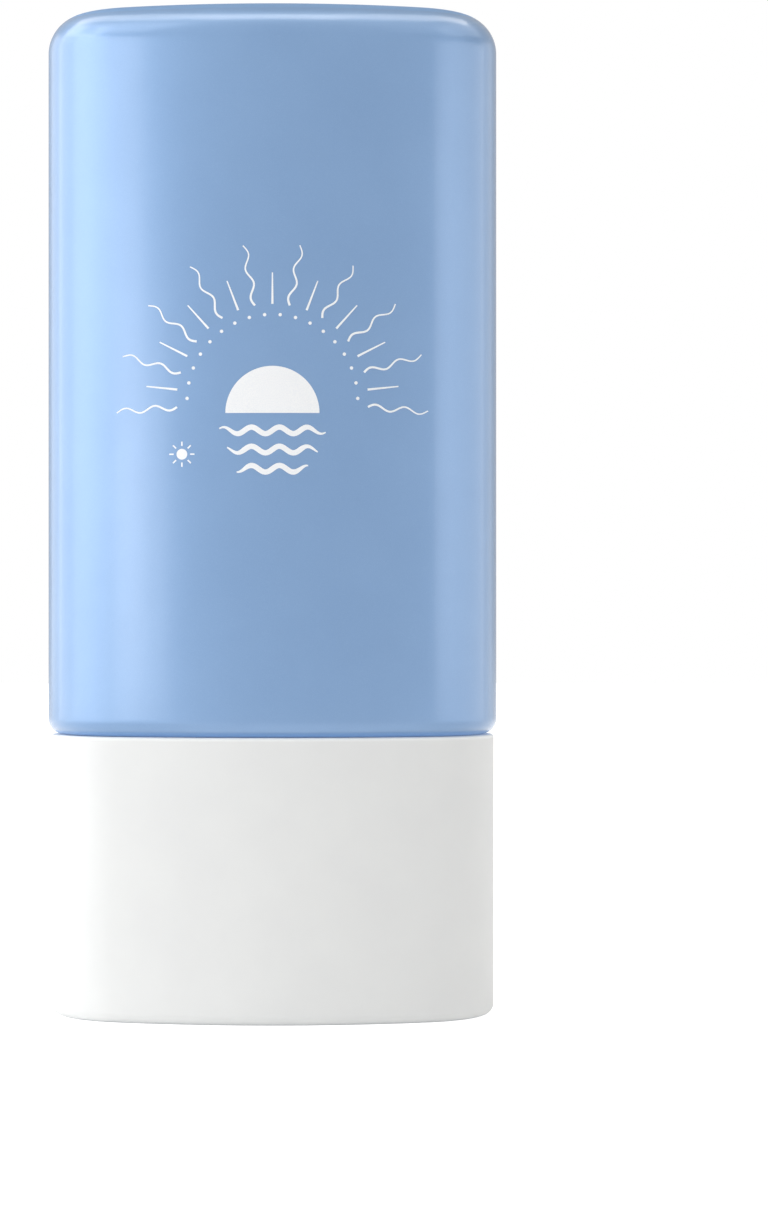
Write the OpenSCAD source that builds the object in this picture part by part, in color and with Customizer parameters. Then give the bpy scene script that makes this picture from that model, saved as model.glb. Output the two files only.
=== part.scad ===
// Flat oval squeeze bottle for sun lotion, standing on its screw cap.
// Millimetres, +Z up, front towards -Y. The origin is the middle of the cap's standing face.
// Every oval here is one four-arc oval, drawn further in or out by a parallel offset.

/* [Overall] */
// Height of the closed bottle, from the cap's standing face to the bottle's base
total_h = 118; // [100:1:140]
// Height of the outer cap
cap_h = 33.1; // [31:0.1:40]
// Width of the bottle
body_w = 53; // [46:0.5:62]
// Depth of the bottle, front to back
body_d = 29; // [27:0.5:40]
// Radius of the two narrow side arcs of the oval
side_r = 12; // [8:0.5:13]
// Gap between the bottle's shoulder and the cap's rim
seam_gap = 0.15; // [0.1:0.05:1]

/* [Bottle] */
// Blown wall of the bottle
body_wall = 1.2; // [0.8:0.1:2]
// Rounding of the edge round the bottle's base, which is the top as it stands
base_round = 4.5; // [3:0.1:6]
// Rounding of the edge round the shoulder, beside the cap
shoulder_round = 1.8; // [1.5:0.1:4]
// Depth of the hollowed panel in the base
panel_depth = 0.7; // [0.3:0.1:1.2]
// Distance from the outline in to the hollowed panel
panel_inset = 6; // [5:0.5:9]
// Rounding of the panel's inner corner
panel_round = 0.6; // [0.2:0.1:0.7]

/* [Neck] */
// Diameter of the neck between its threads
neck_d = 18.2; // [16:0.1:19]
// Bore of the neck
neck_bore_d = 14.6; // [12:0.1:15]
// Length of the neck below the shoulder
neck_len = 15.4; // [14:0.1:17]
// Height of a thread ridge
thread_depth = 1.1; // [0.8:0.1:1.3]
// Width of a thread ridge at its foot
thread_foot_w = 1.6; // [1.2:0.1:1.8]
// Width of a thread ridge at its crest
thread_crest_w = 0.8; // [0.5:0.1:1]
// Rise of the bottle in one turn
thread_lead = 7; // [6:0.1:8]
// Turns of each ridge
thread_turns = 1.1; // [0.8:0.05:1.2]
// Distance from the neck's end face to the middle of the first ridge
thread_start = 2.4; // [2:0.1:3]
// Height of the round bead between the threads and the shoulder
bead_h = 0.9; // [0.5:0.1:1]
// Width of the bead at its foot
bead_w = 1.6; // [1:0.1:1.8]
// Distance from the shoulder to the bead
bead_drop = 1.2; // [1.1:0.1:1.4]

/* [Nozzle plug] */
// Diameter of the flange under the neck's end face
flange_d = 18; // [16.5:0.1:18.5]
// Thickness of the flange
flange_t = 1; // [0.8:0.1:1.5]
// Length of the barrel pressed into the neck
barrel_len = 7; // [5:0.1:9]
// Wall of the barrel
barrel_wall = 1.1; // [0.8:0.1:1.4]
// Chamfer round the barrel's leading end
barrel_chamfer = 0.5; // [0.2:0.1:0.7]
// How far the barrel's two sealing beads bite into the bore
bead_bite = 0.08; // [0.02:0.01:0.12]
// Width of a sealing bead
seal_bead_w = 1; // [0.6:0.1:1.4]
// Diameter of the spout at the flange
spout_foot_d = 9; // [8:0.1:9.4]
// Diameter of the spout at its tip
spout_tip_d = 5; // [4.4:0.1:6]
// Rounding of the spout's tip
tip_round = 0.8; // [0.4:0.1:1]
// Diameter of the channel in the spout
channel_d = 3.6; // [3:0.1:4]
// Diameter of the orifice at the tip
orifice_d = 1.8; // [1.4:0.1:2.2]
// Length of the orifice
orifice_len = 1.6; // [1:0.1:2]

/* [Inner cap] */
// Radial gap between a thread's crests and the wall that it faces
thread_gap = 0.3; // [0.2:0.05:0.4]
// Upright gap between the flanks that carry the closed cap
flank_gap = 0.2; // [0.1:0.05:0.4]
// Wall of the threaded skirt
skirt_wall = 1.4; // [1:0.1:1.6]
// Chamfer inside the skirt's mouth
mouth_chamfer = 0.6; // [0.3:0.1:0.8]
// Gap between the skirt's rim and the shoulder
rim_gap = 0.9; // [0.6:0.1:1.2]
// Thickness of the plate that the liner lies on
plate_t = 1.4; // [1:0.1:2]
// Wall of the nose round the spout
nose_wall = 1.5; // [1:0.1:2]
// Gap between the spout's foot and the nose
nose_gap = 0.7; // [0.5:0.1:1]
// Thickness of the nose's closed end
nose_end_t = 1.4; // [1:0.1:1.8]
// Gap between the sealing pin and the orifice
pin_gap = 0.1; // [0.05:0.01:0.15]
// How far the sealing pin reaches into the orifice
pin_reach = 1.1; // [0.6:0.1:1.4]
// Diameter of the boss that carries the pin
pin_boss_d = 3.4; // [2.6:0.1:4]
// Height of the boss above the nose's closed end
pin_boss_h = 2.8; // [1:0.1:4]
// Gap between the pin's boss and the spout's tip
pin_boss_gap = 0.5; // [0.3:0.1:0.8]
// Number of drive ribs round the skirt
drive_ribs = 24; // [12:2:30]
// Height of a drive rib
drive_rib_h = 0.4; // [0.3:0.05:0.5]
// Width of a drive rib
drive_rib_w = 0.9; // [0.6:0.1:1.1]
// How far the drive ribs bite into the socket
drive_bite = 0.04; // [0.02:0.01:0.08]

/* [Liner] */
// Thickness of the foam liner
liner_t = 1; // [0.8:0.1:1.5]
// Radial gap round the liner
liner_gap = 0.35; // [0.3:0.05:0.6]

/* [Outer cap] */
// How far the cap's outline lies inside the bottle's
cap_inset = 0.3; // [0:0.05:0.6]
// Wall of the outer cap
cap_wall = 1.6; // [1.2:0.1:2]
// Thickness of the cap's end wall
cap_end_t = 1.8; // [1.4:0.1:2.4]
// Rounding of the edge round the cap's standing face
cap_edge_round = 1.3; // [1:0.1:2.4]
// Rounding of the rim beside the shoulder
cap_rim_round = 0.5; // [0.3:0.1:0.9]
// Rounding inside the cap, between its wall and its end
cap_inner_round = 0.8; // [0.4:0.1:1.2]
// Wall of the two round sockets that hold the inner cap
socket_wall = 1.2; // [0.9:0.1:1.6]
// How far the large socket ends below the cap's rim
socket_drop = 8; // [6:0.5:14]
// How far the small socket reaches up the nose
nose_socket_h = 8; // [5:0.5:10]
// Number of ribs that carry the inner cap's plate
floor_ribs = 8; // [4:4:12]
// Thickness of a rib
rib_t = 1; // [0.8:0.1:1.4]
// Distance from the large socket's mouth down to the webs beside it
web_drop = 2; // [1:0.5:6]
// Angle between neighbouring webs
web_angle = 32; // [20:1:35]

/* [Hidden] */

$fn = 96;
cut = 0.5; // overrun of every cut
sink = 0.3; // how far a thread ridge is buried in its wall
arc_lap = 0.001; // degrees by which neighbouring arcs of the oval overlap, so that no crack is left
thread_starts = 2; // both ridges alike, so the oval cap closes either way round
thread_steps = 36; // stations in a full turn of thread
taper_share = 0.09; // share of a turn over which a ridge rises from its wall
seal_bead_shares = [0.3, 0.7]; // places of the sealing beads along the barrel

// The oval: two wide arcs front and back, and two narrow arcs at the sides
half_w = body_w / 2;
half_d = body_d / 2;
side_x = half_w - side_r; // centre of a side arc
wide_r = (side_x * side_x + half_d * half_d - side_r * side_r) / (2 * (half_d - side_r));
wide_y = wide_r - half_d; // centre of a wide arc
wide_angle = atan(side_x / wide_y); // half of a wide arc
side_angle = 90 - wide_angle; // half of a side arc

// Heights, from the standing face up
shoulder_z = cap_h + seam_gap;
body_h = total_h - shoulder_z;
neck_end_z = shoulder_z - neck_len;
flange_z = neck_end_z - flange_t;
nose_floor_z = cap_end_t + nose_end_t;
boss_top_z = nose_floor_z + pin_boss_h;
tip_z = boss_top_z + pin_boss_gap;
plate_top_z = flange_z - liner_t;
plate_z = plate_top_z - plate_t;
rim_z = shoulder_z - rim_gap;
socket_top_z = cap_h - socket_drop;

// Radii about the neck's axis
neck_r = neck_d / 2;
neck_bore_r = neck_bore_d / 2;
skirt_bore_r = neck_r + thread_depth + thread_gap;
skirt_r = skirt_bore_r + skirt_wall;
socket_r = skirt_r + drive_rib_h;
nose_bore_r = spout_foot_d / 2 + nose_gap;
nose_r = nose_bore_r + nose_wall;
pin_r = orifice_d / 2 - pin_gap;
ridge_shift = (thread_foot_w + thread_crest_w) / 2 + flank_gap; // of the cap's ridges above the neck's

// Half of an upright profile, from the axis out, with both outer corners rounded
module edge_profile(reach, height, low_round, high_round) {
    difference() {
        square([reach, height]);
        if (low_round > 0)
            translate([reach - low_round, low_round])
                mirror([0, 1])
                    corner_cut(low_round);
        if (high_round > 0)
            translate([reach - high_round, height - high_round])
                corner_cut(high_round);
    }
}

// What a round of this radius takes off a square corner
module corner_cut(radius) {
    difference() {
        square(radius + cut);
        circle(r = radius);
    }
}

// A solid on the oval plan, drawn in by inset, with its low and high edges rounded
module oval_solid(inset, height, low_round = 0, high_round = 0) {
    for (across = [0, 1], along = [0, 1])
        mirror([across, 0, 0])
            mirror([0, along, 0])
                oval_quarter(inset, height, low_round, high_round);
}

// A quarter of it: half of a side arc and half of a wide arc, each turned about its own centre
module oval_quarter(inset, height, low_round, high_round) {
    union() {
        translate([side_x, 0, 0])
            rotate_extrude(angle = side_angle + arc_lap)
                edge_profile(side_r - inset, height, low_round, high_round);
        intersection() {
            translate([0, -wide_y, 0])
                rotate_extrude(start = side_angle - arc_lap, angle = wide_angle + 2 * arc_lap)
                    edge_profile(wide_r - inset, height, low_round, high_round);
            translate([0, 0, -cut])
                cube([half_w, half_d, height + 2 * cut]);
        }
    }
}

// Section of a thread ridge at one station: its foot is buried in the wall, and its crest
// stands out from it by rise, outwards where way is 1 and inwards where way is -1
function ridge_section(wall_r, way, angle, mid_z, rise) = [
    for (corner = [[-sink, -thread_foot_w], [rise, -thread_crest_w],
                   [rise, thread_crest_w], [-sink, thread_foot_w]])
        [(wall_r + way * corner[0]) * cos(angle),
         (wall_r + way * corner[0]) * sin(angle),
         mid_z + corner[1] / 2]
];

// A ridge rises out of its wall at one end and sinks back into it at the other
function ridge_rise(turn) =
    thread_depth * min(1, turn / taper_share, (thread_turns - turn) / taper_share)
    - sink / 2 * max(0, 1 - turn / taper_share, 1 - (thread_turns - turn) / taper_share);

// Triangles of one side strip between two stations, numbered clockwise as seen from outside
function strip(first, second, corner, next, way) =
    way < 0
    ? [[first + corner, second + corner, second + next], [first + corner, second + next, first + next]]
    : [[first + corner, second + next, second + corner], [first + corner, first + next, second + next]];

// One helical ridge on a round wall
module thread_ridge(wall_r, way, start_z) {
    count = round(thread_turns * thread_steps);
    points = [
        for (i = [0:count])
            let (turn = thread_turns * i / count)
                each ridge_section(wall_r, way, 360 * turn, start_z + thread_lead * turn, ridge_rise(turn))
    ];
    sides = [
        for (i = [0:count - 1], corner = [0:3])
            each strip(4 * i, 4 * (i + 1), corner, (corner + 1) % 4, way)
    ];
    last = 4 * count;
    ends = way < 0
        ? [[0, 1, 2], [0, 2, 3], [last, last + 2, last + 1], [last, last + 3, last + 2]]
        : [[0, 2, 1], [0, 3, 2], [last, last + 1, last + 2], [last, last + 2, last + 3]];
    polyhedron(points = points, faces = concat(sides, ends));
}

// Every start of a thread, evenly round the wall
module thread(wall_r, way, start_z) {
    for (start = [0:thread_starts - 1])
        rotate([0, 0, 360 * start / thread_starts])
            thread_ridge(wall_r, way, start_z);
}

// A round bead on a wall of this radius, its middle at z 0
module round_bead(wall_r, height, width) {
    rotate_extrude()
        polygon([[wall_r - sink, -width / 2], [wall_r, -width / 2], [wall_r + height, -width / 6],
                 [wall_r + height, width / 6], [wall_r, width / 2], [wall_r - sink, width / 2]]);
}

// The blown bottle: one hollow shell with its neck and thread
module bottle() {
    cavity_h = body_h - 2 * body_wall - panel_depth;
    color([0.53, 0.67, 0.85])
        difference() {
            union() {
                translate([0, 0, shoulder_z])
                    oval_solid(0, body_h, shoulder_round, base_round);
                translate([0, 0, neck_end_z])
                    cylinder(r = neck_r, h = neck_len + body_wall);
                thread(neck_r, 1, neck_end_z + thread_start);
                translate([0, 0, shoulder_z - bead_drop - bead_w / 2])
                    round_bead(neck_r, bead_h, bead_w);
            }
            translate([0, 0, shoulder_z + body_wall])
                oval_solid(body_wall, cavity_h, shoulder_round - body_wall, base_round - body_wall);
            translate([0, 0, total_h - panel_depth])
                oval_solid(panel_inset, panel_depth + cut, panel_round);
            translate([0, 0, neck_end_z - cut])
                cylinder(r = neck_bore_r, h = neck_len + body_wall + 2 * cut);
        }
}

// The pressed-in plug: flange, sealing barrel and tapered spout, turned from one outline
module nozzle_plug() {
    barrel_bore_r = neck_bore_r - barrel_wall;
    color([0.94, 0.95, 0.95])
        difference() {
            union() {
                rotate_extrude()
                    plug_outline();
                for (bead_share = seal_bead_shares)
                    translate([0, 0, neck_end_z + barrel_len * bead_share])
                        round_bead(neck_bore_r, bead_bite, seal_bead_w);
            }
            translate([0, 0, neck_end_z])
                cylinder(r = barrel_bore_r, h = barrel_len + cut);
            translate([0, 0, flange_z])
                cylinder(r1 = channel_d / 2, r2 = barrel_bore_r, h = flange_t);
            translate([0, 0, tip_z + orifice_len])
                cylinder(d = channel_d, h = flange_z - tip_z);
            translate([0, 0, tip_z - cut])
                cylinder(d = orifice_d, h = orifice_len + 2 * cut);
        }
}

// Half of the plug's outline, from its rounded tip up to the barrel's chamfered end
module plug_outline() {
    tip_r = spout_tip_d / 2;
    foot_r = spout_foot_d / 2;
    barrel_top_z = neck_end_z + barrel_len;
    difference() {
        polygon([[0, tip_z], [tip_r, tip_z], [tip_r, tip_z + tip_round], [foot_r, flange_z],
                 [flange_d / 2, flange_z], [flange_d / 2, neck_end_z], [neck_bore_r, neck_end_z],
                 [neck_bore_r, barrel_top_z - barrel_chamfer], [neck_bore_r - barrel_chamfer, barrel_top_z],
                 [0, barrel_top_z]]);
        translate([tip_r - tip_round, tip_z + tip_round])
            mirror([0, 1])
                corner_cut(tip_round);
    }
}

// The foam washer between the inner cap and the plug's flange
module cap_liner() {
    color([0.97, 0.97, 0.96])
        translate([0, 0, plate_top_z])
            difference() {
                cylinder(r = skirt_bore_r - liner_gap, h = liner_t);
                translate([0, 0, -cut])
                    cylinder(r = nose_bore_r + liner_gap, h = liner_t + 2 * cut);
            }
}

// The threaded inner cap: skirt, plate, and a closed nose with its sealing pin
module inner_cap() {
    color([0.9, 0.91, 0.91])
        union() {
            difference() {
                union() {
                    translate([0, 0, plate_z])
                        cylinder(r = skirt_r, h = rim_z - plate_z);
                    translate([0, 0, cap_end_t])
                        cylinder(r = nose_r, h = plate_z - cap_end_t + plate_t / 2);
                    for (rib = [0:drive_ribs - 1])
                        rotate([0, 0, 360 * rib / drive_ribs])
                            translate([skirt_r - sink, -drive_rib_w / 2, plate_z])
                                cube([sink + drive_rib_h + drive_bite, drive_rib_w, socket_top_z - plate_z]);
                }
                translate([0, 0, plate_top_z])
                    cylinder(r = skirt_bore_r, h = rim_z - plate_top_z + cut);
                translate([0, 0, rim_z - mouth_chamfer])
                    cylinder(r1 = skirt_bore_r, r2 = skirt_bore_r + mouth_chamfer, h = mouth_chamfer);
                translate([0, 0, nose_floor_z])
                    cylinder(r = nose_bore_r, h = plate_top_z);
            }
            thread(skirt_bore_r, -1, neck_end_z + thread_start + ridge_shift);
            translate([0, 0, nose_floor_z - nose_end_t / 2])
                cylinder(d = pin_boss_d, h = pin_boss_h + nose_end_t / 2);
            translate([0, 0, boss_top_z - pin_boss_h / 2])
                cylinder(r = pin_r, h = pin_boss_h / 2 + pin_boss_gap + pin_reach);
        }
}

// The oval outer cap: a shell with two round sockets, and webs out to its side walls
module outer_cap() {
    color([0.93, 0.94, 0.94])
        difference() {
            union() {
                difference() {
                    oval_solid(cap_inset, cap_h, cap_edge_round, cap_rim_round);
                    translate([0, 0, cap_end_t])
                        oval_solid(cap_inset + cap_wall, cap_h, cap_inner_round);
                }
                intersection() {
                    union() {
                        translate([0, 0, cap_end_t / 2])
                            cylinder(r = socket_r + socket_wall, h = socket_top_z - cap_end_t / 2);
                        side_webs();
                    }
                    translate([0, 0, cap_end_t / 2])
                        oval_solid(cap_inset + cap_wall / 2, cap_h);
                }
            }
            translate([0, 0, plate_z])
                cylinder(r = socket_r, h = cap_h);
            translate([0, 0, cap_end_t])
                difference() {
                    cylinder(r = socket_r, h = plate_z);
                    cylinder(r = nose_r + socket_wall, h = nose_socket_h);
                    floor_rib_star();
                }
            translate([0, 0, cap_end_t])
                cylinder(r = nose_r, h = cap_h);
        }
}

// Ribs across the large socket's floor, up to the plate
module floor_rib_star() {
    for (rib = [0:floor_ribs - 1])
        rotate([0, 0, 360 * rib / floor_ribs])
            translate([0, -rib_t / 2, 0])
                cube([socket_r + cut, rib_t, plate_z - cap_end_t]);
}

// Three webs on each side, from the large socket out past the cap's wall
module side_webs() {
    for (side = [0, 180], web = [-1, 0, 1])
        rotate([0, 0, side + web * web_angle])
            translate([socket_r + socket_wall / 2, -rib_t / 2, cap_end_t / 2])
                cube([half_w - socket_r, rib_t, socket_top_z - web_drop - cap_end_t / 2]);
}

bottle();
nozzle_plug();
cap_liner();
inner_cap();
outer_cap();
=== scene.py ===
import bpy
import bmesh
import math
from mathutils import Matrix, Vector


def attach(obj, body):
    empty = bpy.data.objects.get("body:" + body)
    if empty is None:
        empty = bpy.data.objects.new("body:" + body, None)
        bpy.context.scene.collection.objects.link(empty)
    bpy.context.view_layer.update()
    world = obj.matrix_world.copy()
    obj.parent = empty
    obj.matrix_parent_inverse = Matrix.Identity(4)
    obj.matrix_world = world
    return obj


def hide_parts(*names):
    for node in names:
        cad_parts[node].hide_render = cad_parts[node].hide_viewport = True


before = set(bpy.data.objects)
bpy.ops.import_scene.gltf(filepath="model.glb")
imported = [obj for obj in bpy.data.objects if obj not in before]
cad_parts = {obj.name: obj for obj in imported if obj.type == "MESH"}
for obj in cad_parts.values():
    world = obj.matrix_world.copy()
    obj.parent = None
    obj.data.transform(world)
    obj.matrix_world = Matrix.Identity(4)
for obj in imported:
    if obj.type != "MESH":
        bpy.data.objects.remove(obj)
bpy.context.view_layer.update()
print("frame loaded")

mm = 0.001
scene = bpy.context.scene
scene.view_settings.view_transform = "Standard"


class Wire:
    # a socket that takes part in sums, so that shader maths reads as plain maths
    def __init__(self, finish, socket):
        self.finish = finish
        self.socket = socket

    def maths(self, operation, *values):
        return self.finish.node("Math", {"operation": operation}, dict(enumerate(values)))

    def __add__(self, other):
        return self.maths("ADD", self, other)

    def __radd__(self, other):
        return self.maths("ADD", other, self)

    def __sub__(self, other):
        return self.maths("SUBTRACT", self, other)

    def __rsub__(self, other):
        return self.maths("SUBTRACT", other, self)

    def __mul__(self, other):
        return self.maths("MULTIPLY", self, other)

    def __rmul__(self, other):
        return self.maths("MULTIPLY", other, self)

    def __pow__(self, other):
        return self.maths("POWER", self, other)

    def __abs__(self):
        return self.maths("ABSOLUTE", self)


class Finish:
    # one material, or the world, and the nodes in it
    def __init__(self, name, holder=None):
        self.holder = holder or bpy.data.materials.new(name)
        self.holder.use_nodes = True
        self.tree = self.holder.node_tree
        self.tree.nodes.clear()

    def node(self, kind, settings=None, sockets=None, output=0):
        made = self.tree.nodes.new("ShaderNode" + kind)
        for key, value in (settings or {}).items():
            setattr(made, key, value)
        for key, value in (sockets or {}).items():
            if isinstance(value, Wire):
                self.tree.links.new(value.socket, made.inputs[key])
            else:
                made.inputs[key].default_value = value
        return Wire(self, made.outputs[output])

    def place(self):
        # place on the object, in millimetres
        here = self.node("TexCoord", output="Object")
        return self.node("VectorMath", {"operation": "SCALE"}, {0: here, "Scale": 1 / mm})

    def split(self, vector):
        apart = self.node("SeparateXYZ", sockets={0: vector})
        return [Wire(self, socket) for socket in apart.socket.node.outputs]

    def noise(self, vector, size, detail=2.0):
        # smooth noise with features of this size in millimetres, from 0 to 1
        return self.node("TexNoise", {"noise_dimensions": "3D"},
                         {"Vector": vector, "Scale": 1.0 / size, "Detail": detail})

    def span(self, value, low, high, fromLow=0.0, fromHigh=1.0):
        # the value's way between two limits becomes a way from low to high
        return self.node("MapRange", {"clamp": True}, {
            "Value": value, "From Min": fromLow, "From Max": fromHigh, "To Min": low, "To Max": high})

    def blend(self, amount, first, second):
        first, second = [(*colour, 1.0) if isinstance(colour, tuple) else colour for colour in (first, second)]
        return self.node("Mix", {"data_type": "RGBA"}, {0: amount, 6: first, 7: second}, output=2)

    def bump(self, height, depth, normal=None):
        # height from 0 to 1 becomes this depth in millimetres
        sockets = {"Height": height, "Distance": depth * mm, "Strength": 1.0}
        if normal:
            sockets["Normal"] = normal
        return self.node("Bump", sockets=sockets)

    def shader(self, sockets):
        self.show(self.node("BsdfPrincipled", sockets=sockets))
        return self.holder

    def show(self, surface, kind="OutputMaterial"):
        end = self.tree.nodes.new("ShaderNode" + kind)
        self.tree.links.new(surface.socket, end.inputs["Surface"])


# distances in millimetres
making = {"weld": 0.002, "sharpDegrees": 32.0, "latheSteps": 96}


def finishPiece(name, bm, material, body, nodes=()):
    # turns faces outward, smooths them but for the sharp edges, and hands the piece to its body
    bmesh.ops.remove_doubles(bm, verts=bm.verts, dist=making["weld"] * mm)
    bmesh.ops.recalc_face_normals(bm, faces=bm.faces)
    for face in bm.faces:
        face.smooth = True
    for edge in bm.edges:
        edge.smooth = (len(edge.link_faces) == 2
                       and edge.calc_face_angle() < math.radians(making["sharpDegrees"]))
    mesh = bpy.data.meshes.new(name)
    bm.to_mesh(mesh)
    bm.free()
    mesh.materials.append(material)
    piece = bpy.data.objects.new(name, mesh)
    scene.collection.objects.link(piece)
    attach(piece, body)
    if nodes:
        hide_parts(*nodes)


def arcSteps(centreReach, centreZ, radius, fromDegrees, toDegrees, steps):
    # (reach, height) pairs round a corner; 0 degrees points out and 90 up
    angles = [math.radians(fromDegrees + (toDegrees - fromDegrees) * step / steps) for step in range(steps + 1)]
    return [(centreReach + radius * math.cos(angle), centreZ + radius * math.sin(angle)) for angle in angles]


def lathe(bm, profile, closed=False):
    # turns (radius, height) pairs, in millimetres, about the neck's axis
    verts = [bm.verts.new((reach * mm, 0, height * mm)) for reach, height in profile]
    edges = [bm.edges.new(pair) for pair in zip(verts, verts[1:])]
    if closed:
        edges.append(bm.edges.new((verts[-1], verts[0])))
    bmesh.ops.spin(bm, geom=verts + edges, cent=(0, 0, 0), axis=(0, 0, 1), angle=2 * math.pi,
                   steps=making["latheSteps"], use_merge=True)


def turned(degrees):
    return Matrix.Rotation(math.radians(degrees), 3, "Z")


def softBox(bm, lengths, place, turn, soft=0.0):
    # a block of these lengths with softened edges, turned about the neck's axis
    made = bmesh.ops.create_cube(bm, size=1.0)["verts"]
    bmesh.ops.scale(bm, vec=Vector(lengths) * mm, verts=made)
    bmesh.ops.translate(bm, vec=Vector(place) * mm, verts=made)
    if soft:
        edges = list({edge for vert in made for edge in vert.link_edges})
        made = bmesh.ops.bevel(bm, geom=edges, offset=soft * mm, segments=2, profile=0.5, material=-1,
                               affect="EDGES")["verts"]
        made = list({vert for face in {f for v in made for f in v.link_faces} for vert in face.verts})
    bmesh.ops.rotate(bm, verts=made, cent=(0, 0, 0), matrix=turned(turn))


# the oval that the bottle and its cap share, in millimetres
oval = {"width": 53.0, "depth": 29.0, "sideRadius": 12.0, "sideSteps": 48, "wideSteps": 60, "middleInset": 11.6}
oval["sideX"] = oval["width"] / 2 - oval["sideRadius"]
oval["wideRadius"] = ((oval["sideX"] ** 2 + (oval["depth"] / 2) ** 2 - oval["sideRadius"] ** 2)
                      / (2 * (oval["depth"] / 2 - oval["sideRadius"])))
oval["wideY"] = oval["wideRadius"] - oval["depth"] / 2
oval["wideAngle"] = math.degrees(math.atan2(oval["sideX"], oval["wideY"]))


def ovalWays():
    # centre, radius and direction of each point round the oval, arc by arc
    ways = []
    wide = oval["wideAngle"]
    for side, sign in ((0, 1), (180, -1)):
        arcs = ((sign * oval["sideX"], 0.0, oval["sideRadius"], side, 90 - wide, oval["sideSteps"]),
                (0.0, -sign * oval["wideY"], oval["wideRadius"], side + 90, wide, oval["wideSteps"]))
        for centreX, centreY, radius, middle, reach, steps in arcs:
            ways += [(centreX, centreY, radius, math.radians(middle - reach + 2 * reach * step / steps))
                     for step in range(steps)]
    return ways


ovalPlaces = ovalWays()


def ovalRings(pairs):
    # rings along the oval at these (inset, height) pairs
    return [("oval", inset, height) for inset, height in pairs]


def ovalCorner(inset, centreReach, centreZ, radius, fromDegrees, toDegrees, steps):
    # rings along the oval round a corner that stands out from this inset
    corner = arcSteps(centreReach, centreZ, radius, fromDegrees, toDegrees, steps)
    return ovalRings([(inset - reach, height) for reach, height in corner])


def roundRings(pairs):
    # round rings at these (radius, height) pairs
    return [("round", radius, height) for radius, height in pairs]


def stationPoint(index, station):
    kind, amount, height = station
    centreX, centreY, radius, angle = ovalPlaces[index]
    if kind == "round":
        centreX, centreY, reach = 0.0, 0.0, amount
    else:
        reach = radius - amount
    return Vector((centreX + reach * math.cos(angle), centreY + reach * math.sin(angle), height)) * mm


def loft(bm, stations):
    # draws a ring through every station in turn, and closes both ends with a flat face
    layer = bm.verts.layers.int.new("way")
    ring = bmesh.ops.create_circle(bm, segments=len(ovalPlaces), radius=mm)["verts"]
    for index, vert in enumerate(ring):
        vert[layer] = index
        vert.co = stationPoint(index, stations[0])
    edges = list({edge for vert in ring for edge in vert.link_edges})
    bmesh.ops.contextual_create(bm, geom=edges)
    for station in stations[1:]:
        made = bmesh.ops.extrude_edge_only(bm, edges=edges)["geom"]
        edges = [item for item in made if isinstance(item, bmesh.types.BMEdge)]
        for item in made:
            if isinstance(item, bmesh.types.BMVert):
                item.co = stationPoint(item[layer], station)
    bmesh.ops.contextual_create(bm, geom=edges)


# sizes of patterns, grains and depths are in millimetres
cloudy = (0.3, 0.7)  # the part of a noise that makes the clouds
nothing = (0.0, 0.0, 0.0)


def pearlBlue():
    look = {"colour": (0.173, 0.310, 0.538), "shade": (0.163, 0.297, 0.522), "flake": (0.42, 0.58, 0.80),
            "flakeShare": 0.10, "cloud": 9.0, "grain": 0.06, "metal": 0.30, "coat": 0.9, "coatRoughness": 0.17,
            "roughness": (0.32, 0.41), "patch": 3.5, "mattBy": 0.15, "peel": 0.5, "peelDepth": 0.0022,
            "partingWidth": 0.16, "partingDepth": 0.012, "partingFrom": 20.0, "partingTo": 21.0,
            "mattFrom": 117.1, "mattTo": 117.28, "paintedGlowFrom": 33.75, "paintedGlowTo": 33.4, "neckFrom": 33.1,
            "neckTo": 33.0, "paintedGlowColour": (0.05, 0.10, 0.19)}
    finish = Finish("satinBlue")
    here = finish.place()
    x, y, z = finish.split(here)
    cloud = finish.noise(here, look["cloud"], 3.0)
    flakes = finish.noise(here, look["grain"], 1.0)
    colour = finish.blend(finish.span(cloud, 0.0, 1.0, *cloudy), look["colour"], look["shade"])
    colour = finish.blend(finish.span(flakes, 0.0, look["flakeShare"], 0.45, 0.75), colour, look["flake"])
    normal = finish.bump(finish.noise(here, look["peel"]), look["peelDepth"])
    # the fine line that the mould's halves leave down both sides
    parting = finish.span(abs(y), 1.0, 0.0, 0.0, look["partingWidth"])
    parting = parting * finish.span(abs(x), 0.0, 1.0, look["partingFrom"], look["partingTo"])
    normal = finish.bump(parting, look["partingDepth"], normal)
    roughness = finish.span(finish.noise(here, look["patch"], 3.0), *look["roughness"])
    top = finish.span(z, 0.0, 1.0, look["mattFrom"], look["mattTo"])
    # a painted glow: blue light is emitted along the shoulder's edge, so the shaded seam above the cap reads
    # lighter
    paintedGlow = finish.span(z, 0.0, 1.0, look["paintedGlowFrom"], look["paintedGlowTo"])
    paintedGlow = paintedGlow * finish.span(z, 1.0, 0.0, look["neckFrom"], look["neckTo"])
    return finish.shader({"Base Color": colour, "Metallic": look["metal"],
                          "Roughness": roughness + top * look["mattBy"], "Normal": normal,
                          "Coat Weight": look["coat"] * (1.0 - top), "Coat Roughness": look["coatRoughness"],
                          "Emission Color": finish.blend(paintedGlow, nothing, look["paintedGlowColour"]),
                          "Emission Strength": 1.0})


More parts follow.
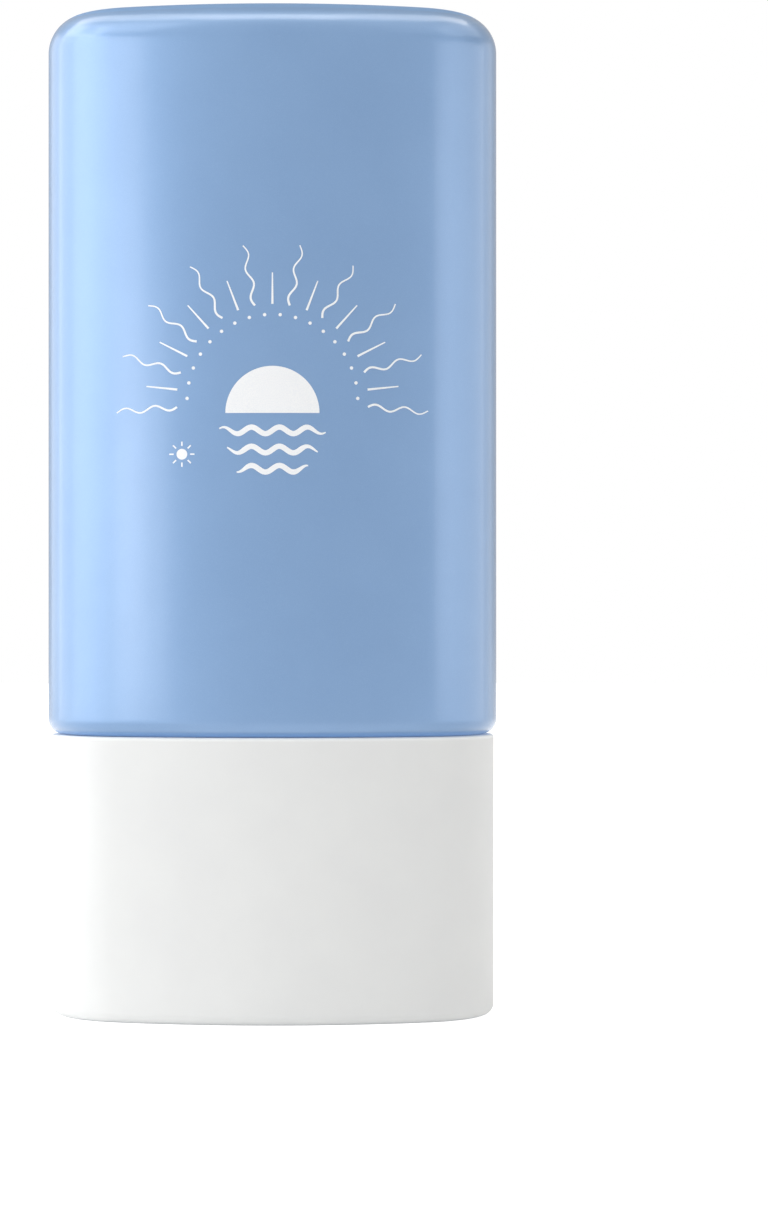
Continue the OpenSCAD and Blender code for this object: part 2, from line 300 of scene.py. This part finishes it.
def capWhite():
    look = {"colour": (0.738, 0.757, 0.764), "shade": (0.720, 0.738, 0.748), "cloud": 7.0,
            "roughness": (0.45, 0.56), "patch": 2.5, "grain": 0.35, "grainDepth": 0.003, "specular": 0.2,
            "paintedGlowFrom": 32.6, "paintedGlowTo": 32.9, "paintedGlowColour": (0.10, 0.105, 0.11)}
    finish = Finish("capWhite")
    here = finish.place()
    x, y, z = finish.split(here)
    cloud = finish.noise(here, look["cloud"], 3.0)
    # a painted highlight: white light is emitted along the top of the rim, so the rim reads brighter where the
    # bottle shades it
    paintedGlow = finish.span(z, 0.0, 1.0, look["paintedGlowFrom"], look["paintedGlowTo"])
    return finish.shader({"Base Color": finish.blend(finish.span(cloud, 0.0, 1.0, *cloudy),
                                                     look["colour"], look["shade"]),
                          "Roughness": finish.span(finish.noise(here, look["patch"], 3.0), *look["roughness"]),
                          "Normal": finish.bump(finish.noise(here, look["grain"], 3.0), look["grainDepth"]),
                          "Specular IOR Level": look["specular"],
                          "Emission Color": finish.blend(paintedGlow, nothing, look["paintedGlowColour"]),
                          "Emission Strength": 1.0})


def naturalPlastic(name, colour, roughness, ring):
    # unpainted plastic of the inner pieces, with the fine turned marks of its mould
    look = {"cloud": 3.0, "tint": 0.93, "markDepth": 0.0025, "grain": 0.4, "grainDepth": 0.004, "rough": 0.05,
            "inside": 0.15, "insideScale": 0.001}
    finish = Finish(name)
    here = finish.place()
    x, y, z = finish.split(here)
    reach = (x * x + y * y) ** 0.5
    marks = finish.node("Math", {"operation": "SINE"}, {0: (z + reach) * (2 * math.pi / ring)})
    cloud = finish.noise(here, look["cloud"], 3.0)
    tint = tuple(channel * look["tint"] for channel in colour)
    normal = finish.bump(marks * 0.5 + 0.5, look["markDepth"])
    normal = finish.bump(finish.noise(here, look["grain"], 3.0), look["grainDepth"], normal)
    return finish.shader({"Base Color": finish.blend(finish.span(cloud, 0.0, 1.0, *cloudy), colour, tint),
                          "Roughness": finish.span(cloud, roughness - look["rough"], roughness + look["rough"]),
                          "Normal": normal, "Subsurface Weight": look["inside"],
                          "Subsurface Scale": look["insideScale"]})


def foamWhite():
    look = {"cell": (0.82, 0.82, 0.80), "wall": (0.70, 0.70, 0.68), "cellsPerMm": 2.2, "wallWidth": 0.14,
            "depth": 0.03, "roughness": 0.75}
    finish = Finish("linerFoam")
    cells = finish.node("TexVoronoi", {"feature": "DISTANCE_TO_EDGE"},
                        {"Vector": finish.place(), "Scale": look["cellsPerMm"]})
    walls = finish.span(cells, 1.0, 0.0, 0.0, look["wallWidth"])
    return finish.shader({"Base Color": finish.blend(walls, look["cell"], look["wall"]),
                          "Roughness": look["roughness"], "Normal": finish.bump(walls, look["depth"])})


def whiteInk():
    look = {"colour": (0.86, 0.88, 0.90), "shade": (0.80, 0.83, 0.87), "grain": 0.12, "grainDepth": 0.002,
            "roughness": (0.38, 0.5)}
    finish = Finish("whiteInk")
    grain = finish.noise(finish.place(), look["grain"])
    return finish.shader({"Base Color": finish.blend(finish.span(grain, 0.0, 1.0, 0.35, 0.65),
                                                     look["colour"], look["shade"]),
                          "Roughness": finish.span(grain, *look["roughness"]),
                          "Normal": finish.bump(grain, look["grainDepth"])})


blue = pearlBlue()
white = capWhite()
ink = whiteInk()
print("finishes made")


# the two-start thread, the same on the neck and in the inner cap, in millimetres
thread = {"depth": 1.1, "foot": 1.6, "crest": 0.8, "lead": 7.0, "turns": 1.1, "taperTurns": 0.09, "sink": 0.3,
          "steps": 120, "starts": (0, 180), "endTurns": 0.04, "under": 0.2}
# how far each corner of the ridge stands out, and how far it lies above the ridge's middle
thread["flank"] = [(0.62 * thread["depth"], thread["crest"] / 2 + 0.10),
                   (0.90 * thread["depth"], thread["crest"] / 2 * 0.85),
                   (thread["depth"], thread["crest"] / 2 * 0.45)]


def helix(bm, wallRadius, way, startHeight, turnStart):
    # one ridge of a screw thread: its section is spun up the helix, then sinks away at both ends
    upper = [(-thread["sink"], thread["foot"] / 2)] + thread["flank"]
    section = [(rise, -up) for rise, up in upper] + upper[::-1]
    layer = bm.verts.layers.float.get("rise") or bm.verts.layers.float.new("rise")
    verts = []
    for rise, up in section:
        vert = bm.verts.new(((wallRadius + way * rise) * mm, 0, (startHeight + up) * mm))
        vert[layer] = rise
        verts.append(vert)
    edges = [bm.edges.new(pair) for pair in zip(verts, verts[1:] + verts[:1])]
    before = set(bm.verts) - set(verts)
    climb = thread["lead"] * thread["turns"] / thread["steps"] * mm
    ends = bmesh.ops.spin(bm, geom=verts + edges, cent=(0, 0, 0), axis=(0, 0, 1),
                          angle=2 * math.pi * thread["turns"], steps=thread["steps"], dvec=(0, 0, climb),
                          use_merge=False)["geom_last"]
    bmesh.ops.contextual_create(bm, geom=edges)
    bmesh.ops.contextual_create(bm, geom=[item for item in ends if isinstance(item, bmesh.types.BMEdge)])
    fresh = [vert for vert in bm.verts if vert not in before]
    for vert in fresh:
        turn = (vert.co.z / mm - startHeight) / thread["lead"]
        toEnd = min(turn, thread["turns"] - turn) + thread["endTurns"]
        share = max(0.0, min(1.0, toEnd / thread["taperTurns"]))
        share = share * share * (3 - 2 * share)
        if vert[layer] > 0:
            height = way * (vert[layer] * share - thread["under"] * (1 - share))
            flat = Vector((vert.co.x, vert.co.y, 0)).normalized() * (wallRadius + height) * mm
            vert.co.x, vert.co.y = flat.x, flat.y
    bmesh.ops.rotate(bm, verts=fresh, cent=(0, 0, 0), matrix=turned(turnStart))


bottle = {"base": 118.0, "shoulder": 33.13, "baseRound": 4.5, "shoulderRound": 1.8, "wall": 1.2,
          "panelInset": 6.0, "panelDepth": 0.7, "panelRound": 0.6, "panelEdge": 0.15,
          "neckRadius": 9.1, "neckBore": 7.3, "neckEnd": 17.85, "neckSoft": 0.25, "neckFillet": 0.4,
          "beadLow": 30.45, "beadHigh": 32.05, "beadHeight": 0.9, "beadHalf": 0.62, "beadFoot": 0.08,
          "beadEdge": 0.1, "threadStart": 2.4, "boreChamfer": 0.3, "boreLead": 1.0,
          "flatLead": 0.3, "panelLead": 0.5, "wallLead": 0.4}


def makeBottle():
    size = bottle
    base, shoulder, wall = size["base"], size["shoulder"], size["wall"]
    panelFloor = base - size["panelDepth"]
    panelFoot = size["panelInset"] + size["panelRound"]
    # down the panel's floor corner, up its edge, and out over the base's flat ring
    rings = ovalRings([(oval["middleInset"], panelFloor), (panelFoot + size["wallLead"], panelFloor)])
    rings += ovalCorner(panelFoot, 0.0, panelFloor + size["panelRound"], size["panelRound"], -90, 0, 6)
    rings += ovalCorner(size["panelInset"], size["panelEdge"], base - size["panelEdge"], size["panelEdge"],
                        180, 90, 3)
    rings += ovalRings([(size["panelInset"] - size["panelLead"], base),
                        (size["baseRound"] + size["flatLead"], base)])
    # round the base's edge, down the wall, and in under the shoulder
    high = base - size["baseRound"]
    low = shoulder + size["shoulderRound"]
    rings += ovalCorner(size["baseRound"], 0.0, high, size["baseRound"], 90, 0, 20)
    rings += ovalRings([(0.0, high - size["wallLead"]), (0.0, (low + high) / 2), (0.0, low + size["wallLead"])])
    rings += ovalCorner(size["shoulderRound"], 0.0, low, size["shoulderRound"], 0, -90, 14)
    rings += ovalRings([(size["shoulderRound"] + size["flatLead"], shoulder)])
    # the neck with its bead
    neck, end, soft, fillet = size["neckRadius"], size["neckEnd"], size["neckSoft"], size["neckFillet"]
    middle = (size["beadLow"] + size["beadHigh"]) / 2
    rings += roundRings([(neck + 2 * fillet, shoulder), (neck + fillet, shoulder)])
    rings += roundRings(arcSteps(neck + fillet, shoulder - fillet, fillet, 90, 180, 5))
    rings += roundRings([(neck, size["beadHigh"] + size["beadEdge"]),
                         (neck + size["beadFoot"], size["beadHigh"])])
    for angle in range(70, -71, -20):
        rings += roundRings([(neck + size["beadHeight"] * math.cos(math.radians(angle)),
                              middle + size["beadHalf"] * math.sin(math.radians(angle)))])
    rings += roundRings([(neck + size["beadFoot"], size["beadLow"]),
                         (neck, size["beadLow"] - size["beadEdge"]), (neck, end + soft + size["flatLead"])])
    rings += roundRings(arcSteps(neck - soft, end + soft, soft, 0, -90, 4))
    rings += roundRings(arcSteps(size["neckBore"] + soft, end + soft, soft, -90, -180, 4))
    # up the bore and round the inside of the blown wall
    floor = shoulder + wall
    bore, chamfer = size["neckBore"], size["boreChamfer"]
    rings += roundRings([(bore, end + size["boreLead"]), (bore, floor - chamfer), (bore + chamfer, floor)])
    inner = size["shoulderRound"] - wall
    rings += ovalCorner(size["shoulderRound"], 0.0, floor + inner, inner, -90, 0, 6)
    top = base - wall - size["panelDepth"]
    inner = size["baseRound"] - wall
    rings += ovalCorner(size["baseRound"], 0.0, top - inner, inner, 0, 90, 8)
    rings += ovalRings([(oval["middleInset"], top)])
    bm = bmesh.new()
    loft(bm, rings)
    for start in thread["starts"]:
        helix(bm, neck, 1, end + size["threadStart"], start)
    finishPiece("bottle_shell", bm, blue, "bottle", ["bottle"])


makeBottle()
print("bottle made")


# spoutFoot and seat: out from the foot or the barrel, and down or up from the flange
plug = {"flangeRadius": 9.0, "flangeLow": 16.85, "flangeHigh": 17.85, "flangeSoft": 0.15,
        "barrelRadius": 7.3, "barrelTop": 24.85, "barrelWall": 1.1, "barrelChamfer": 0.5, "boreSoft": 0.1,
        "footRadius": 4.5, "spoutFoot": ((-0.12, 0.9), (0.15, 0.2), (0.4, 0.0)),
        "seat": ((0.05, 0.0), (0.0, 0.2)), "tipRadius": 2.5, "tip": 6.5, "tipRound": 0.8, "channel": 1.8,
        "orifice": 0.9, "orificeTop": 8.1, "orificeSoft": 0.12,
        "beadShares": (0.3, 0.7), "bite": 0.08, "biteFoot": 0.5, "biteCrest": 0.17,
        "colour": (0.80, 0.81, 0.80), "roughness": 0.42, "marks": 0.35}


def makePlug():
    size = plug
    soft, low, high = size["flangeSoft"], size["flangeLow"], size["flangeHigh"]
    barrel, top = size["barrelRadius"], size["barrelTop"]
    bore = barrel - size["barrelWall"]
    outline = [(size["orifice"], size["orificeTop"]), (size["orifice"], size["tip"] + size["orificeSoft"]),
               (size["orifice"] + size["orificeSoft"], size["tip"])]
    outline += arcSteps(size["tipRadius"] - size["tipRound"], size["tip"] + size["tipRound"], size["tipRound"],
                        -90, 0, 6)
    outline += [(size["footRadius"] + out, low - down) for out, down in size["spoutFoot"]]
    outline += arcSteps(size["flangeRadius"] - soft, low + soft, soft, -90, 0, 3)
    outline += arcSteps(size["flangeRadius"] - soft, high - soft, soft, 0, 90, 3)
    outline += [(barrel + out, high + up) for out, up in size["seat"]]
    for share in size["beadShares"]:
        at = high + share * (top - high)
        outline += [(barrel, at - size["biteFoot"]), (barrel + size["bite"], at - size["biteCrest"]),
                    (barrel + size["bite"], at + size["biteCrest"]), (barrel, at + size["biteFoot"])]
    outline += [(barrel, top - size["barrelChamfer"]), (barrel - size["barrelChamfer"], top),
                (bore + size["boreSoft"], top), (bore, top - size["boreSoft"]), (bore, high),
                (size["channel"], low), (size["channel"], size["orificeTop"])]
    bm = bmesh.new()
    lathe(bm, outline, closed=True)
    material = naturalPlastic("plugNatural", size["colour"], size["roughness"], size["marks"])
    finishPiece("nozzle_plug_moulded", bm, material, "bottle", ["nozzle_plug"])


liner = {"inner": 5.55, "outer": 10.15, "low": 15.85, "high": 16.85, "soft": 0.12}


def makeLiner():
    soft = liner["soft"]
    inner, outer = liner["inner"] + soft, liner["outer"] - soft
    low, high = liner["low"] + soft, liner["high"] - soft
    outline = arcSteps(inner, low, soft, 180, 270, 3) + arcSteps(outer, low, soft, -90, 0, 3)
    outline += arcSteps(outer, high, soft, 0, 90, 3) + arcSteps(inner, high, soft, 90, 180, 3)
    bm = bmesh.new()
    lathe(bm, outline, closed=True)
    finishPiece("liner_washer", bm, foamWhite(), "liner", ["cap_liner"])


makePlug()
makeLiner()
print("plug and liner made")


innerCap = {"skirtBore": 10.5, "skirtRadius": 11.9, "plateLow": 14.45, "plateTop": 15.85, "rim": 32.35,
            "mouth": 0.6, "mouthSoft": 0.05, "noseBore": 5.2, "noseRadius": 6.7, "noseEnd": 1.8,
            "noseFloor": 3.2, "bossRadius": 1.7, "bossTop": 6.0, "pinRadius": 0.8, "pinTop": 7.6,
            "threadStart": 21.65, "ribs": 24, "ribHeight": 0.44, "ribWidth": 0.9, "ribTop": 25.1,
            "ribSink": 0.6, "ribSoft": 0.12,
            "plateSoft": 0.3, "edgeSoft": 0.2, "boreSoft": 0.15, "floorSoft": 0.3, "bossSoft": 0.12,
            "colour": (0.78, 0.79, 0.78), "roughness": 0.38, "marks": 0.5}


def makeInnerCap():
    size = innerCap
    skirt, skirtBore, rim = size["skirtRadius"], size["skirtBore"], size["rim"]
    nose, noseBore, noseFloor = size["noseRadius"], size["noseBore"], size["noseFloor"]
    edge, low = size["edgeSoft"], size["plateLow"] + size["plateSoft"]
    # the outside up from the nose's end and over the skirt's rim
    outline = [(0.0, size["noseEnd"]), (nose - edge, size["noseEnd"]), (nose, size["noseEnd"] + edge),
               (nose, size["plateLow"])]
    outline += arcSteps(skirt - size["plateSoft"], low, size["plateSoft"], -90, 0, 4)
    outline += arcSteps(skirt - edge, rim - edge, edge, 0, 90, 3)
    # down the inside to the pin
    outline += [(skirtBore + size["mouth"] + size["mouthSoft"], rim),
                (skirtBore + size["mouth"], rim - size["mouthSoft"]), (skirtBore, rim - size["mouth"]),
                (skirtBore, size["plateTop"] + edge), (skirtBore - edge, size["plateTop"]),
                (noseBore + size["boreSoft"], size["plateTop"]),
                (noseBore, size["plateTop"] - size["boreSoft"]),
                (noseBore, noseFloor + size["floorSoft"]), (noseBore - size["floorSoft"], noseFloor),
                (size["bossRadius"] + edge, noseFloor), (size["bossRadius"], noseFloor + edge),
                (size["bossRadius"], size["bossTop"] - size["bossSoft"]),
                (size["bossRadius"] - size["bossSoft"], size["bossTop"]), (size["pinRadius"], size["bossTop"]),
                (size["pinRadius"], size["pinTop"] - size["boreSoft"]),
                (size["pinRadius"] - size["boreSoft"], size["pinTop"]), (0.0, size["pinTop"])]
    bm = bmesh.new()
    lathe(bm, outline)
    for rib in range(size["ribs"]):
        softBox(bm, (size["ribSink"] + size["ribHeight"], size["ribWidth"], size["ribTop"] - low),
                (skirt + (size["ribHeight"] - size["ribSink"]) / 2, 0, (size["ribTop"] + low) / 2),
                360.0 * rib / size["ribs"], size["ribSoft"])
    for start in thread["starts"]:
        helix(bm, skirtBore, -1, size["threadStart"], start)
    material = naturalPlastic("innerNatural", size["colour"], size["roughness"], size["marks"])
    finishPiece("inner_cap_moulded", bm, material, "cap", ["inner_cap"])


makeInnerCap()
print("inner cap made")


# sink is how far the sockets, ribs and webs reach into the floor, and each web is (turn, reach)
cap = {"inset": 0.3, "height": 33.1, "wall": 1.6, "end": 1.8, "edgeRound": 1.3, "rimRound": 0.35,
       "innerRound": 0.8, "rimSoft": 0.15,
       "socketBore": 12.3, "socketWall": 1.2, "socketTop": 25.1, "socketSoft": 0.25,
       "noseBore": 6.7, "noseSocketTop": 9.8, "ribs": 8, "ribThickness": 1.0, "ribTop": 14.45, "sink": 0.6,
       "webTop": 23.1, "webThickness": 1.0, "webs": ((-32.0, 16.6), (0.0, 25.0), (32.0, 16.6)),
       "flatLead": 0.3, "wallLead": 0.4, "rimLead": 1.0}


def makeOuterCap():
    size = cap
    inset, high, end = size["inset"], size["height"], size["end"]
    edge, rim, lead = size["edgeRound"], size["rimRound"], size["wallLead"]
    rings = ovalRings([(oval["middleInset"], 0.0), (inset + edge + size["flatLead"], 0.0)])
    rings += ovalCorner(inset + edge, 0.0, edge, edge, -90, 0, 14)
    rings += ovalRings([(inset, edge + lead), (inset, high * 0.5), (inset, high - rim - lead)])
    rings += ovalCorner(inset + rim, 0.0, high - rim, rim, 0, 90, 8)
    inner = inset + size["wall"]
    soft, corner = size["rimSoft"], size["innerRound"]
    rings += ovalCorner(inner - soft, 0.0, high - soft, soft, 90, 180, 3)
    rings += ovalRings([(inner, high - size["rimLead"]), (inner, end + corner + lead)])
    rings += ovalCorner(inner + corner, 0.0, end + corner, corner, 0, -90, 6)
    rings += ovalRings([(inner + corner + lead, end), (oval["middleInset"], end)])
    bm = bmesh.new()
    loft(bm, rings)
    # the large round socket, and the small one for the nose
    wall, soft, low = size["socketWall"], size["socketSoft"], end - size["sink"]
    for bore, top in ((size["socketBore"], size["socketTop"]), (size["noseBore"], size["noseSocketTop"])):
        outline = [(bore, low)] + arcSteps(bore + soft, top - soft, soft, 180, 90, 3)
        outline += arcSteps(bore + wall - soft, top - soft, soft, 90, 0, 3) + [(bore + wall, low)]
        lathe(bm, outline, closed=True)
    inside, outside = size["noseBore"] + wall / 2, size["socketBore"] + wall / 2
    for rib in range(size["ribs"]):
        softBox(bm, (outside - inside, size["ribThickness"], size["ribTop"] - low),
                ((inside + outside) / 2, 0, (size["ribTop"] + low) / 2), 360.0 * rib / size["ribs"])
    for side in (0, 180):
        for turn, reach in size["webs"]:
            softBox(bm, (reach - outside, size["webThickness"], size["webTop"] - low),
                    ((reach + outside) / 2, 0, (size["webTop"] + low) / 2), side + turn)
    finishPiece("outer_cap_moulded", bm, white, "cap", ["outer_cap"])


makeOuterCap()
print("outer cap made")


# heights, reaches and line widths of the print; waves are (height, half length)
printing = {"fanHeight": 71.9, "rays": 19, "fanFrom": -4.0, "fanTo": 184.0, "rayFoot": 11.0, "longTip": 18.0,
            "shortTip": 14.6, "rayWidth": 0.26, "rayTaper": 0.45, "raySway": 0.34, "swayLength": 3.4,
            "rayStep": 0.22, "dotReach": 9.8, "dotRadius": 0.2, "sunRadius": 5.4, "sunHeight": 70.4,
            "lift": 0.03, "sink": 0.02, "waves": ((68.4, 6.1), (66.2, 5.2), (64.0, 4.1)),
            "waveWidth": 0.62, "waveRise": 0.38, "waveLength": 3.2, "waveStep": 0.2, "waveEnd": 0.25,
            "smallSun": (-10.4, 65.7), "smallRadius": 0.62, "smallRays": 8, "smallReach": (0.95, 1.2, 1.45),
            "smallWidth": 0.17, "discStep": 0.6}


def onFront(bm, verts):
    # lays a drawing on x and z against the bottle's front, and gives the ink its thickness
    faces = list({face for vert in verts for face in vert.link_faces if all(v in verts for v in face.verts)})
    made = bmesh.ops.extrude_face_region(bm, geom=faces)["geom"]
    raised = {item for item in made if isinstance(item, bmesh.types.BMVert)}
    for vert in verts | raised:
        reach = oval["wideRadius"] + (printing["lift"] if vert in raised else -printing["sink"])
        vert.co.y = -(math.sqrt(reach ** 2 - (vert.co.x / mm) ** 2) - oval["wideY"]) * mm


def inkLine(bm, points, width):
    # a line of ink through these (x, z) points: an edge that is drawn along them
    def across(index):
        before = points[max(0, index - 1)]
        after = points[min(len(points) - 1, index + 1)]
        way = Vector((after[0] - before[0], 0, after[1] - before[1])).normalized()
        side = Vector((-way.z, 0, way.x)) * width(index / (len(points) - 1)) / 2
        here = Vector((points[index][0], 0, points[index][1]))
        return (here - side) * mm, (here + side) * mm

    layer = bm.verts.layers.int.get("edge") or bm.verts.layers.int.new("edge")
    ends = [bm.verts.new(place) for place in across(0)]
    ends[0][layer], ends[1][layer] = 0, 1
    drawn = set(ends)
    edge = bm.edges.new(ends)
    for index in range(1, len(points)):
        made = bmesh.ops.extrude_edge_only(bm, edges=[edge])["geom"]
        edge = [item for item in made if isinstance(item, bmesh.types.BMEdge)][0]
        places = across(index)
        for item in made:
            if isinstance(item, bmesh.types.BMVert):
                item.co = places[item[layer]]
                drawn.add(item)
    onFront(bm, drawn)


def inkDisc(bm, centre, radius, degrees, steps):
    # a round patch of ink, whole or part, turned about its own middle
    count = max(2, int(radius / printing["discStep"]) + 1)
    before = set(bm.verts)
    verts = [bm.verts.new(((centre[0] + radius * index / count) * mm, 0, centre[1] * mm))
             for index in range(count + 1)]
    edges = [bm.edges.new(pair) for pair in zip(verts, verts[1:])]
    bmesh.ops.spin(bm, geom=verts + edges, cent=(centre[0] * mm, 0, centre[1] * mm), axis=(0, -1, 0),
                   angle=math.radians(degrees), steps=steps, use_merge=degrees == 360)
    bmesh.ops.remove_doubles(bm, verts=[vert for vert in bm.verts if vert not in before],
                             dist=making["weld"] * mm)
    onFront(bm, {vert for vert in bm.verts if vert not in before})


def fanTurn(ray):
    size = printing
    return math.radians(size["fanFrom"] + (size["fanTo"] - size["fanFrom"]) * ray / (size["rays"] - 1))


def drawRays(bm):
    size = printing
    centre = Vector((0.0, size["fanHeight"]))
    foot = size["rayFoot"]
    for ray in range(size["rays"]):
        turn = fanTurn(ray)
        along = Vector((math.cos(turn), math.sin(turn)))
        aside = Vector((-along.y, along.x))
        # every other ray is long and waved
        tip, sway = (size["shortTip"], 0.0) if ray % 2 else (size["longTip"], size["raySway"])
        count = int((tip - foot) / size["rayStep"])
        points = []
        for index in range(count + 1):
            reach = foot + (tip - foot) * index / count
            wave = sway * math.sin(2 * math.pi * (reach - foot) / size["swayLength"])
            spot = centre + along * reach + aside * wave
            points.append((spot.x, spot.y))
        inkLine(bm, points, lambda share: size["rayWidth"] * (1.0 - size["rayTaper"] * share))


def drawDots(bm):
    size = printing
    for dot in range(size["rays"] - 1):
        turn = fanTurn(dot + 0.5)
        centre = (size["dotReach"] * math.cos(turn), size["fanHeight"] + size["dotReach"] * math.sin(turn))
        inkDisc(bm, centre, size["dotRadius"], 360, 16)


def drawSun(bm):
    inkDisc(bm, (0.0, printing["sunHeight"]), printing["sunRadius"], 180, 48)


def waveWidth(share):
    # a wave is full along its middle and thin at both ends
    return printing["waveWidth"] * min(1.0, 4 * min(share, 1 - share) + printing["waveEnd"])


def drawWaves(bm):
    size = printing
    for height, half in size["waves"]:
        count = int(half * 2 / size["waveStep"])
        places = [-half + 2 * half * index / count for index in range(count + 1)]
        points = [(place, height + size["waveRise"] * math.sin(2 * math.pi * place / size["waveLength"]))
                  for place in places]
        inkLine(bm, points, waveWidth)


def drawSmallSun(bm):
    size = printing
    x, z = size["smallSun"]
    inkDisc(bm, (x, z), size["smallRadius"], 360, 32)
    for ray in range(size["smallRays"]):
        turn = 2 * math.pi * ray / size["smallRays"]
        points = [(x + reach * math.cos(turn), z + reach * math.sin(turn)) for reach in size["smallReach"]]
        inkLine(bm, points, lambda share: size["smallWidth"])


for printName, draw in (("print_rays", drawRays), ("print_dots", drawDots), ("print_sun", drawSun),
                        ("print_waves", drawWaves), ("print_small_sun", drawSmallSun)):
    drawing = bmesh.new()
    draw(drawing)
    finishPiece(printName, drawing, ink, "bottle")
print("print made")


# floor sizes: half its side in metres, its pattern and the reach of its glow in millimetres
studio = {"floorHalf": 1.6, "floorGrey": 0.8, "floorShade": 0.784, "floorCloud": 60.0, "glow": (0.9, 1.0),
          "glowReach": (80.0, 400.0), "glowUp": 0.20, "fill": 0.355, "dimmed": 0.5, "dimming": (-0.25, 0.10),
          "warm": (1.0, 0.88, 0.74), "plain": (1.0, 1.0, 1.0)}
# place, point aimed at, width, height, power in watts, turn about the upright axis in degrees, and colour
lamps = {"leftNear": ((-0.45, -0.45, 0.18), (0, -0.45, 0.18), 0.45, 0.34, 1.08, 0, "plain"),
         "leftMid": ((-0.45, -0.10, 0.18), (0, -0.10, 0.18), 0.25, 0.34, 0.64, 0, "plain"),
         "leftFar": ((-0.45, 0.15, 0.28), (0, 0.15, 0.28), 0.25, 0.54, 0.63, 0, "plain"),
         "leftFront": ((-0.47, -0.70, 0.07), (0, 0, 0.07), 0.20, 0.13, 0.20, 0, "plain"),
         "leftHigh": ((-0.46, 0.02, 0.46), (0, 0, 0.11), 0.60, 0.26, 0.58, 0, "plain"),
         "leftTop": ((-0.36, -0.27, 0.52), (0, 0, 0.11), 0.34, 0.28, 0.46, 0, "plain"),
         "leftBack": ((-0.62, 0.55, 0.22), (0, 0, 0.08), 0.45, 0.42, 0.48, 0, "plain"),
         "rightBack": ((0.60, 0.45, 0.16), (0, 0, 0.07), 0.36, 0.30, 0.17, 0, "plain"),
         "rightNear": ((0.50, -0.35, 0.11), (0, -0.35, 0.11), 0.30, 0.21, 0.27, 0, "plain"),
         "rightFar": ((0.50, 0.02, 0.11), (0, 0.02, 0.11), 0.45, 0.21, 0.32, 0, "plain"),
         "rightHigh": ((0.46, 0.02, 0.46), (0, 0, 0.11), 0.60, 0.26, 0.39, 0, "plain"),
         "rightTop": ((0.36, -0.27, 0.52), (0, 0, 0.11), 0.34, 0.28, 0.08, 0, "plain"),
         "topMid": ((0.0, -0.15, 0.60), (0, -0.15, 0.11), 0.26, 0.16, 0.46, 0, "warm"),
         "topLeft": ((-0.285, 0.11, 0.60), (-0.285, 0.11, 0.11), 0.17, 0.60, 0.80, 34.5, "warm"),
         "topRight": ((0.285, 0.11, 0.60), (0.285, 0.11, 0.11), 0.17, 0.60, 0.76, -34.5, "warm")}
view = {"lens": 111.0, "sensor": 36.0, "shiftX": 0.0923, "shiftY": -0.0098, "nearest": 0.01,
        "place": (0.0, -0.4417, 0.0498)}


def rayKinds(finish):
    # 1 for a ray that shows the background as it is, and 1 for a gloss
    clear = finish.node("LightPath", output="Is Camera Ray")
    clear = clear.maths("MAXIMUM", clear, finish.node("LightPath", output="Is Transmission Ray"))
    return clear, finish.node("LightPath", output="Is Glossy Ray")


def makeFloor():
    bm = bmesh.new()
    bmesh.ops.create_grid(bm, x_segments=8, y_segments=8, size=studio["floorHalf"])
    mesh = bpy.data.meshes.new("floor")
    bm.to_mesh(mesh)
    bm.free()
    floor = bpy.data.objects.new("floor", mesh)
    scene.collection.objects.link(floor)
    finish = Finish("paleFloor")
    here = finish.place()
    x, y, z = finish.split(here)
    colour = finish.blend(finish.noise(here, studio["floorCloud"]), (studio["floorGrey"],) * 3,
                          (studio["floorShade"],) * 3)
    clear, gloss = rayKinds(finish)
    reach = (x * x + y * y) ** 0.5
    strength = (clear + gloss * studio["dimmed"]) * finish.span(reach, *studio["glow"], *studio["glowReach"])
    strength = strength + (1.0 - clear - gloss) * studio["glowUp"]
    finish.show(finish.node("AddShader", sockets={
        0: finish.node("BsdfDiffuse", sockets={"Color": colour}),
        1: finish.node("Emission", sockets={"Color": (1, 1, 1, 1), "Strength": strength})}))
    mesh.materials.append(finish.holder)


def makeWorld():
    # white behind everything; a gloss sees the back dimmed, and matt surfaces get the fill
    scene.world = bpy.data.worlds.new("studio")
    finish = Finish("studio", scene.world)
    x, y, z = finish.split(finish.node("TexCoord", output="Generated"))
    clear, gloss = rayKinds(finish)
    strength = clear + gloss * finish.span(y, 1.0, studio["dimmed"], *studio["dimming"])
    strength = strength + (1.0 - clear - gloss) * studio["fill"]
    finish.show(finish.node("Background", sockets={"Color": (1, 1, 1, 1), "Strength": strength}), "OutputWorld")


def makeLamp(name, place, aim, width, height, power, turn, colour):
    lamp = bpy.data.lights.new(name, "AREA")
    lamp.shape = "RECTANGLE"
    lamp.size, lamp.size_y, lamp.energy, lamp.color = width, height, power, studio[colour]
    holder = bpy.data.objects.new(name, lamp)
    holder.location = place
    way = (Vector(aim) - Vector(place)).to_track_quat("-Z", "Y").to_matrix()
    holder.rotation_euler = (turned(turn) @ way).to_euler()
    scene.collection.objects.link(holder)


def makeCamera():
    camera = bpy.data.cameras.new("camera")
    camera.lens, camera.sensor_width = view["lens"], view["sensor"]
    camera.shift_x, camera.shift_y = view["shiftX"], view["shiftY"]
    camera.clip_start = view["nearest"]
    holder = bpy.data.objects.new("camera", camera)
    holder.location = view["place"]
    holder.rotation_euler = (math.radians(90), 0, 0)
    scene.collection.objects.link(holder)
    scene.camera = holder


makeFloor()
makeWorld()
for lampName, lampValues in lamps.items():
    makeLamp(lampName, *lampValues)
makeCamera()
print("studio made")
